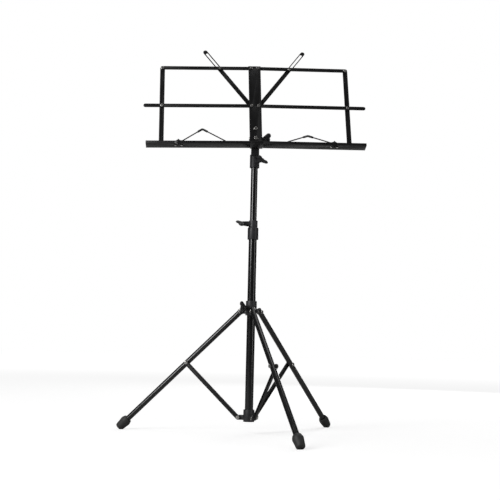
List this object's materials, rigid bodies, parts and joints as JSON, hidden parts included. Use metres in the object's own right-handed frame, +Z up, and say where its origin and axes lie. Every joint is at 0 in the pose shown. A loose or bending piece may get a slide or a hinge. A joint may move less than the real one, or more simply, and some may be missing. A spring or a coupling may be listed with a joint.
{
  "type": "music stand",
  "caption": "Folding music stand: tripod base, telescoping mast and a tilting, fold-up desk of flat bars with a tray and wire page holders.",
  "frame": {"origin": "on the floor, on the mast axis", "axes": "+Z up the mast, -Y towards the player, +X to the right as the player sees the desk"},
  "size_m": [0.5665, 0.5366, 0.9068],
  "materials": {
    "black_rubber": "matt moulded rubber",
    "nickel_steel": "bright nickel plate",
    "collar_plastic": "satin moulded plastic",
    "knob_plastic": "satin moulded plastic",
    "sleeve_plastic": "matt vinyl sleeve",
    "black_tube_enamel": "gloss black enamel",
    "black_flat_enamel": "satin black enamel"
  },
  "bodies": {
    "base": {"lower_mast_tube": "black_tube_enamel", "lower_hub": "collar_plastic", "lower_hub_pins": "nickel_steel", "height_collar": "collar_plastic"},
    "brace_left": {"leg_brace_left": "black_flat_enamel", "knee_rivet_left": "nickel_steel"},
    "leg_left": {"leg_tube_left": "black_tube_enamel", "rubber_foot_left": "black_rubber"},
    "brace_rear": {"leg_brace_rear": "black_flat_enamel", "knee_rivet_rear": "nickel_steel"},
    "leg_rear": {"leg_tube_rear": "black_tube_enamel", "rubber_foot_rear": "black_rubber"},
    "brace_front": {"leg_brace_front": "black_flat_enamel", "knee_rivet_front": "nickel_steel"},
    "leg_front": {"leg_tube_front": "black_tube_enamel", "rubber_foot_front": "black_rubber"},
    "hub": {"tripod_hub": "collar_plastic", "tripod_hub_pins": "nickel_steel"},
    "hub_screw": {"hub_knob": "knob_plastic", "hub_knob_screw": "nickel_steel"},
    "height_screw": {"height_knob": "knob_plastic", "height_knob_screw": "nickel_steel"},
    "upper_mast": {"upper_mast_tube": "black_tube_enamel", "upper_tube_plug": "knob_plastic"},
    "socket": {"desk_socket": "collar_plastic", "tilt_bolt": "nickel_steel"},
    "socket_screw": {"socket_knob": "knob_plastic", "socket_knob_screw": "nickel_steel"},
    "tilt_nut": {"tilt_knob": "knob_plastic"},
    "desk": {"desk_spine": "black_flat_enamel", "tilt_bracket": "black_flat_enamel", "bracket_rivets": "nickel_steel", "spine_pivot_rivets": "nickel_steel"},
    "top_bar_left": {"top_bar_left": "black_flat_enamel", "slot_pin_left": "nickel_steel"},
    "middle_bar_left": {"middle_bar_left": "black_flat_enamel"},
    "side_bar_left": {"side_bar_left": "black_flat_enamel", "side_bar_rivets_left": "nickel_steel"},
    "arm_left": {"slotted_arm_left": "black_flat_enamel"},
    "tray_left": {"music_tray_left": "black_flat_enamel", "page_clip_left": "black_flat_enamel", "page_clip_rivets_left": "nickel_steel", "page_plate_left": "black_flat_enamel"},
    "holder_left": {"page_wire_left": "black_flat_enamel", "page_sleeve_left": "sleeve_plastic"},
    "top_bar_right": {"top_bar_right": "black_flat_enamel", "slot_pin_right": "nickel_steel"},
    "middle_bar_right": {"middle_bar_right": "black_flat_enamel"},
    "side_bar_right": {"side_bar_right": "black_flat_enamel", "side_bar_rivets_right": "nickel_steel"},
    "arm_right": {"slotted_arm_right": "black_flat_enamel"},
    "tray_right": {"music_tray_right": "black_flat_enamel", "page_clip_right": "black_flat_enamel", "page_clip_rivets_right": "nickel_steel", "page_plate_right": "black_flat_enamel"},
    "holder_right": {"page_wire_right": "black_flat_enamel", "page_sleeve_right": "sleeve_plastic"}
  },
  "joints": [
    {"name": "tripod_fold", "type": "hinge", "parent": "base", "child": "brace_left", "pos_m": [-0.02466, 0.00413, 0.03717], "axis": [0.165, 0.9863, 0], "range_deg": [0, 43]},
    {"name": "leg_left_knee", "type": "hinge", "parent": "brace_left", "child": "leg_left", "pos_m": [-0.14627, 0.02448, 0.15709], "axis": [0.165, 0.9863, 0], "range_deg": [-86, 0]},
    {"name": "hub_hinge", "type": "hinge", "parent": "leg_left", "child": "hub", "pos_m": [-0.02466, 0.00413, 0.277], "axis": [0.165, 0.9863, 0], "range_deg": [0, 43]},
    {"name": "brace_rear_hinge", "type": "hinge", "parent": "base", "child": "brace_rear", "pos_m": [0.0159, 0.01929, 0.03717], "axis": [0.7716, -0.6361, 0], "range_deg": [0, 43]},
    {"name": "leg_rear_knee", "type": "hinge", "parent": "brace_rear", "child": "leg_rear", "pos_m": [0.09434, 0.11444, 0.15709], "axis": [0.7716, -0.6361, 0], "range_deg": [-86, 0]},
    {"name": "brace_front_hinge", "type": "hinge", "parent": "base", "child": "brace_front", "pos_m": [0.00876, -0.02342, 0.03717], "axis": [-0.9367, -0.3502, 0], "range_deg": [0, 43]},
    {"name": "leg_front_knee", "type": "hinge", "parent": "brace_front", "child": "leg_front", "pos_m": [0.05194, -0.13892, 0.15709], "axis": [-0.9367, -0.3502, 0], "range_deg": [-86, 0]},
    {"name": "hub_knob_turn", "type": "hinge", "parent": "hub", "child": "hub_screw", "pos_m": [0, 0, 0.284], "axis": [-0.6361, -0.7716, 0], "range_deg": [0, 360]},
    {"name": "height_slide", "type": "slide", "parent": "base", "child": "upper_mast", "axis": [0, 0, 1], "range_m": [-0.115, 0.22]},
    {"name": "height_knob_turn", "type": "hinge", "parent": "base", "child": "height_screw", "pos_m": [0, 0, 0.4785], "axis": [-0.9063, -0.4226, 0], "range_deg": [0, 360]},
    {"name": "desk_swivel", "type": "hinge", "parent": "upper_mast", "child": "socket", "pos_m": [0, 0, 0.611], "axis": [0, 0, 1], "continuous": true},
    {"name": "socket_knob_turn", "type": "hinge", "parent": "socket", "child": "socket_screw", "pos_m": [0, 0, 0.6255], "axis": [0.5299, -0.848, 0], "range_deg": [0, 360]},
    {"name": "desk_tilt", "type": "hinge", "parent": "socket", "child": "desk", "pos_m": [0.00043, -0.00819, 0.6769], "axis": [-0.9986, -0.0523, 0], "range_deg": [-13, 70]},
    {"name": "tilt_knob_turn", "type": "hinge", "parent": "socket", "child": "tilt_nut", "pos_m": [0.00043, -0.00819, 0.6769], "axis": [0.9986, 0.0523, 0], "range_deg": [0, 360]},
    {"name": "left_fold", "type": "hinge", "parent": "desk", "child": "top_bar_left", "pos_m": [-0.01386, 0.02405, 0.85778], "axis": [-0.0506, 0.9646, -0.2588], "range_deg": [0, 84]},
    {"name": "middle_bar_left_hinge", "type": "hinge", "parent": "desk", "child": "middle_bar_left", "pos_m": [-0.00997, -0.00231, 0.7588], "axis": [-0.0506, 0.9646, -0.2588], "range_deg": [0, 84]},
    {"name": "tray_left_hinge", "type": "hinge", "parent": "desk", "child": "tray_left", "pos_m": [-0.00612, -0.0284, 0.66079], "axis": [-0.0506, 0.9646, -0.2588], "range_deg": [0, 84]},
    {"name": "side_bar_left_hinge", "type": "hinge", "parent": "top_bar_left", "child": "side_bar_left", "pos_m": [-0.22335, 0.01117, 0.8507], "axis": [-0.0506, 0.9646, -0.2588], "range_deg": [-84, 0]},
    {"name": "arm_left_hinge", "type": "hinge", "parent": "desk", "child": "arm_left", "pos_m": [-0.00997, -0.00231, 0.7588], "axis": [-0.0506, 0.9646, -0.2588], "range_deg": [0, 34]},
    {"name": "page_holder_left_swing", "type": "hinge", "parent": "tray_left", "child": "holder_left", "pos_m": [-0.17416, -0.06049, 0.65748], "axis": [0.9975, 0.0613, 0.0337], "range_deg": [-35, 90]},
    {"name": "right_fold", "type": "hinge", "parent": "desk", "child": "top_bar_right", "pos_m": [0.0027, 0.02502, 0.85818], "axis": [0.0506, -0.9646, 0.2588], "range_deg": [0, 84]},
    {"name": "middle_bar_right_hinge", "type": "hinge", "parent": "desk", "child": "middle_bar_right", "pos_m": [0.00659, -0.00133, 0.7592], "axis": [0.0506, -0.9646, 0.2588], "range_deg": [0, 84]},
    {"name": "tray_right_hinge", "type": "hinge", "parent": "desk", "child": "tray_right", "pos_m": [0.01044, -0.02743, 0.66119], "axis": [0.0506, -0.9646, 0.2588], "range_deg": [0, 84]},
    {"name": "side_bar_right_hinge", "type": "hinge", "parent": "top_bar_right", "child": "side_bar_right", "pos_m": [0.21236, 0.03677, 0.86101], "axis": [0.0506, -0.9646, 0.2588], "range_deg": [-84, 0]},
    {"name": "arm_right_hinge", "type": "hinge", "parent": "desk", "child": "arm_right", "pos_m": [0.00659, -0.00133, 0.7592], "axis": [0.0506, -0.9646, 0.2588], "range_deg": [0, 34]},
    {"name": "page_holder_right_swing", "type": "hinge", "parent": "tray_right", "child": "holder_right", "pos_m": [0.18105, -0.03962, 0.66588], "axis": [0.9983, 0.0559, 0.0135], "range_deg": [-125, 0]}
  ],
  "couplings": [
    {"joint": "leg_left_knee", "follows": "tripod_fold", "ratio": -2},
    {"joint": "hub_hinge", "follows": "tripod_fold", "ratio": 1},
    {"joint": "brace_rear_hinge", "follows": "tripod_fold", "ratio": 1},
    {"joint": "leg_rear_knee", "follows": "tripod_fold", "ratio": -2},
    {"joint": "brace_front_hinge", "follows": "tripod_fold", "ratio": 1},
    {"joint": "leg_front_knee", "follows": "tripod_fold", "ratio": -2},
    {"joint": "middle_bar_left_hinge", "follows": "left_fold", "ratio": 1},
    {"joint": "tray_left_hinge", "follows": "left_fold", "ratio": 1},
    {"joint": "side_bar_left_hinge", "follows": "left_fold", "ratio": -1},
    {"joint": "arm_left_hinge", "follows": "left_fold", "ratio": 0.3975},
    {"joint": "middle_bar_right_hinge", "follows": "right_fold", "ratio": 1},
    {"joint": "tray_right_hinge", "follows": "right_fold", "ratio": 1},
    {"joint": "side_bar_right_hinge", "follows": "right_fold", "ratio": -1},
    {"joint": "arm_right_hinge", "follows": "right_fold", "ratio": 0.3975}
  ]
}
